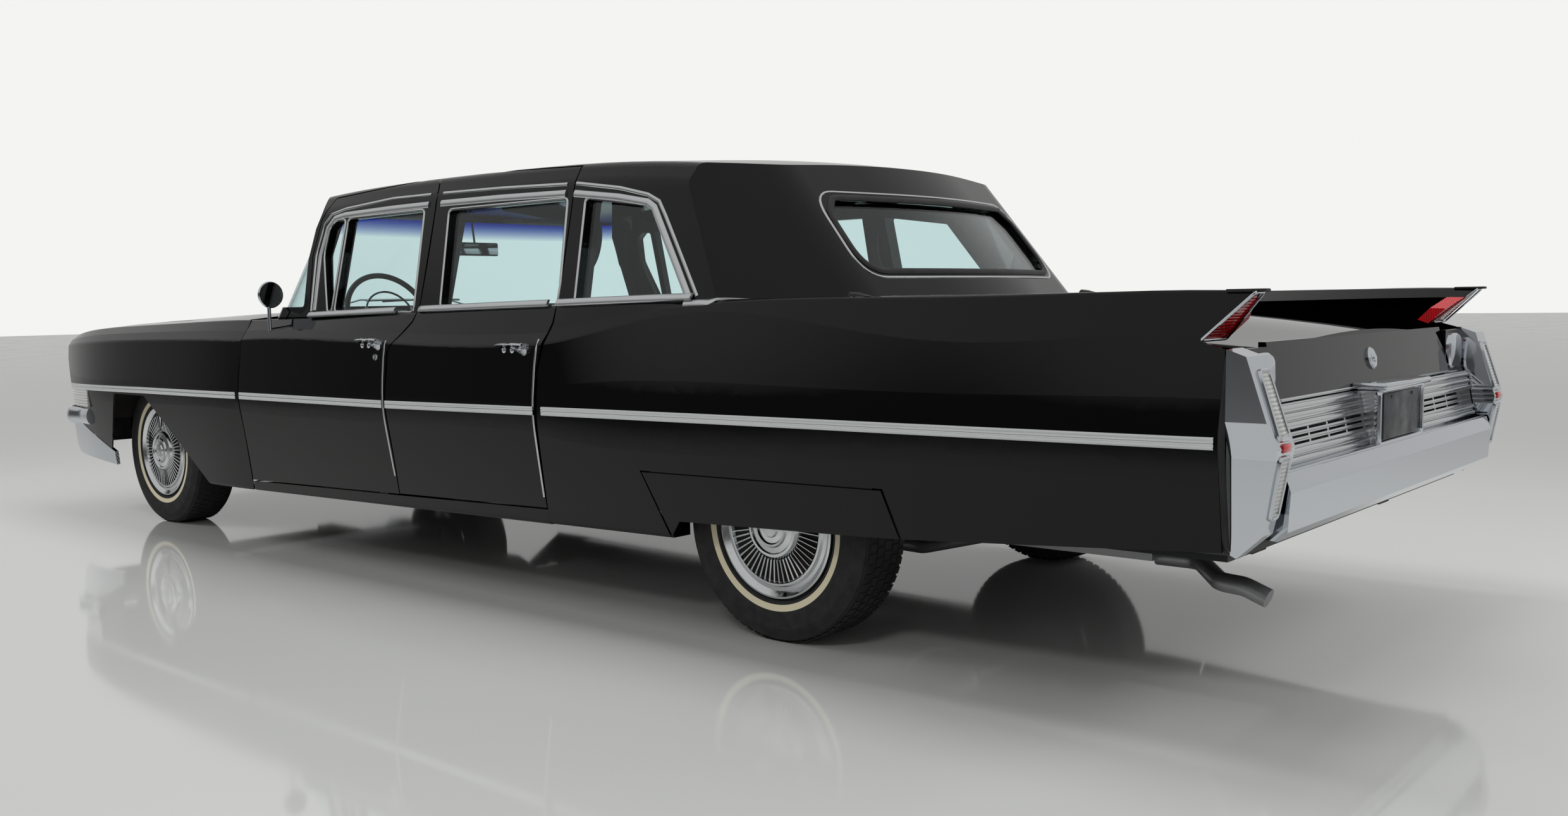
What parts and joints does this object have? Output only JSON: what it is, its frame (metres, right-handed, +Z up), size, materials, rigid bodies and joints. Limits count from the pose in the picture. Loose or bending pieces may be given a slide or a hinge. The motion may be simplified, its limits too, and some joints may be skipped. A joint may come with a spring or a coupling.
{
  "type": "four-door limousine car",
  "caption": "Long black four-door limousine with low tail fins, a curved wrap-round windscreen, opening doors, hood and trunk lid, steered front wheels and six-sided bumper ends.",
  "frame": {"origin": "on the ground, at mid length on the centre line, under the middle of the bounding box", "axes": "+X forward to the nose, +Y to the car's left side, +Z up"},
  "size_m": [6.1919, 2.0344, 1.5077],
  "materials": {
    "black_paint": "gloss black paint",
    "tinted_glass": "light blue-green tinted glass",
    "tyre_rubber": "black rubber with a narrow cream band",
    "bright_metal": "polished chrome plate",
    "bare_steel": "dull steel",
    "black_steel": "satin black chassis paint",
    "cast_iron": "painted cast iron",
    "seat_cloth": "dark woven cloth",
    "dash_vinyl": "dark grained vinyl",
    "lamp_glass": "ribbed clear glass",
    "red_lens": "red ribbed acrylic"
  },
  "bodies": {
    "body": {"chassis_frame": "black_steel", "cowl": "black_paint", "dashboard": "dash_vinyl", "deck_panel": "black_paint", "driveshaft": "bare_steel", "engine": "cast_iron", "exhaust": "bare_steel", "fender_left": "black_paint", "fender_right": "black_paint", "fender_skirts": "black_paint", "floor_pan": "black_steel", "front_bumper": "bright_metal", "front_lamps": "lamp_glass", "front_seat": "seat_cloth", "front_suspension": "bare_steel", "fuel_tank": "bare_steel", "grille": "bright_metal", "quarter_left": "black_paint", "quarter_right": "black_paint", "rear_axle": "bare_steel", "rear_bumper": "bright_metal", "rear_glass": "tinted_glass", "rear_panel": "bright_metal", "rear_seat": "seat_cloth", "roof_shell": "black_paint", "sills": "black_paint", "steering_column": "bare_steel", "tail_lamps": "red_lens", "wheelhouses": "black_steel", "windshield": "tinted_glass"},
    "wheel_rear_left": {"wheel_rear_left": "bright_metal", "tyre_rear_left": "tyre_rubber"},
    "wheel_rear_right": {"wheel_rear_right": "bright_metal", "tyre_rear_right": "tyre_rubber"},
    "wheel_front_left": {"wheel_front_left": "bright_metal", "tyre_front_left": "tyre_rubber"},
    "wheel_front_right": {"wheel_front_right": "bright_metal", "tyre_front_right": "tyre_rubber"},
    "knuckle_left": {"knuckle_left": "bare_steel"},
    "knuckle_right": {"knuckle_right": "bare_steel"},
    "door_front_left": {"door_front_left": "black_paint", "door_glass_front_left": "tinted_glass", "door_mirror": "bright_metal"},
    "door_front_right": {"door_front_right": "black_paint", "door_glass_front_right": "tinted_glass"},
    "door_rear_left": {"door_rear_left": "black_paint", "door_glass_rear_left": "tinted_glass"},
    "door_rear_right": {"door_rear_right": "black_paint", "door_glass_rear_right": "tinted_glass"},
    "hood": {"hood": "black_paint"},
    "trunk_lid": {"trunk_lid": "black_paint"},
    "steering_wheel": {"steering_wheel": "dash_vinyl"}
  },
  "joints": [
    {"name": "spin_front_left", "type": "hinge", "parent": "knuckle_left", "child": "wheel_front_left", "pos_m": [2.212, 0.775, 0.342], "axis": [0, 1, 0], "continuous": true},
    {"name": "spin_front_right", "type": "hinge", "parent": "knuckle_right", "child": "wheel_front_right", "pos_m": [2.212, -0.775, 0.342], "axis": [0, 1, 0], "continuous": true},
    {"name": "spin_rear_left", "type": "hinge", "parent": "body", "child": "wheel_rear_left", "pos_m": [-1.591, 0.775, 0.342], "axis": [0, 1, 0], "continuous": true},
    {"name": "spin_rear_right", "type": "hinge", "parent": "body", "child": "wheel_rear_right", "pos_m": [-1.591, -0.775, 0.342], "axis": [0, 1, 0], "continuous": true},
    {"name": "steer_left", "type": "hinge", "parent": "body", "child": "knuckle_left", "pos_m": [2.212, 0.7, 0.342], "axis": [0, 0, 1], "range_deg": [-30, 30]},
    {"name": "steer_right", "type": "hinge", "parent": "body", "child": "knuckle_right", "pos_m": [2.212, -0.7, 0.342], "axis": [0, 0, 1], "range_deg": [-30, 30]},
    {"name": "hinge_front_left", "type": "hinge", "parent": "body", "child": "door_front_left", "pos_m": [1.2545, 0.975, 0.6], "axis": [0, 0, -1], "range_deg": [0, 65]},
    {"name": "hinge_front_right", "type": "hinge", "parent": "body", "child": "door_front_right", "pos_m": [1.2545, -0.975, 0.6], "axis": [0, 0, 1], "range_deg": [0, 65]},
    {"name": "hinge_rear_left", "type": "hinge", "parent": "body", "child": "door_rear_left", "pos_m": [0.191, 0.975, 0.6], "axis": [0, 0, -1], "range_deg": [0, 65]},
    {"name": "hinge_rear_right", "type": "hinge", "parent": "body", "child": "door_rear_right", "pos_m": [0.191, -0.975, 0.6], "axis": [0, 0, 1], "range_deg": [0, 65]},
    {"name": "hood_hinge", "type": "hinge", "parent": "body", "child": "hood", "pos_m": [1.551, 0, 0.93], "axis": [0, -1, 0], "range_deg": [0, 50]},
    {"name": "trunk_hinge", "type": "hinge", "parent": "body", "child": "trunk_lid", "pos_m": [-1.995, 0, 0.925], "axis": [0, 1, 0], "range_deg": [0, 48]},
    {"name": "steering_wheel_turn", "type": "hinge", "parent": "body", "child": "steering_wheel", "pos_m": [0.985, 0.42, 0.95], "axis": [-0.9207, 0, 0.3903], "range_deg": [-540, 540]}
  ],
  "couplings": [
    {"joint": "steer_right", "follows": "steer_left", "ratio": 1}
  ]
}
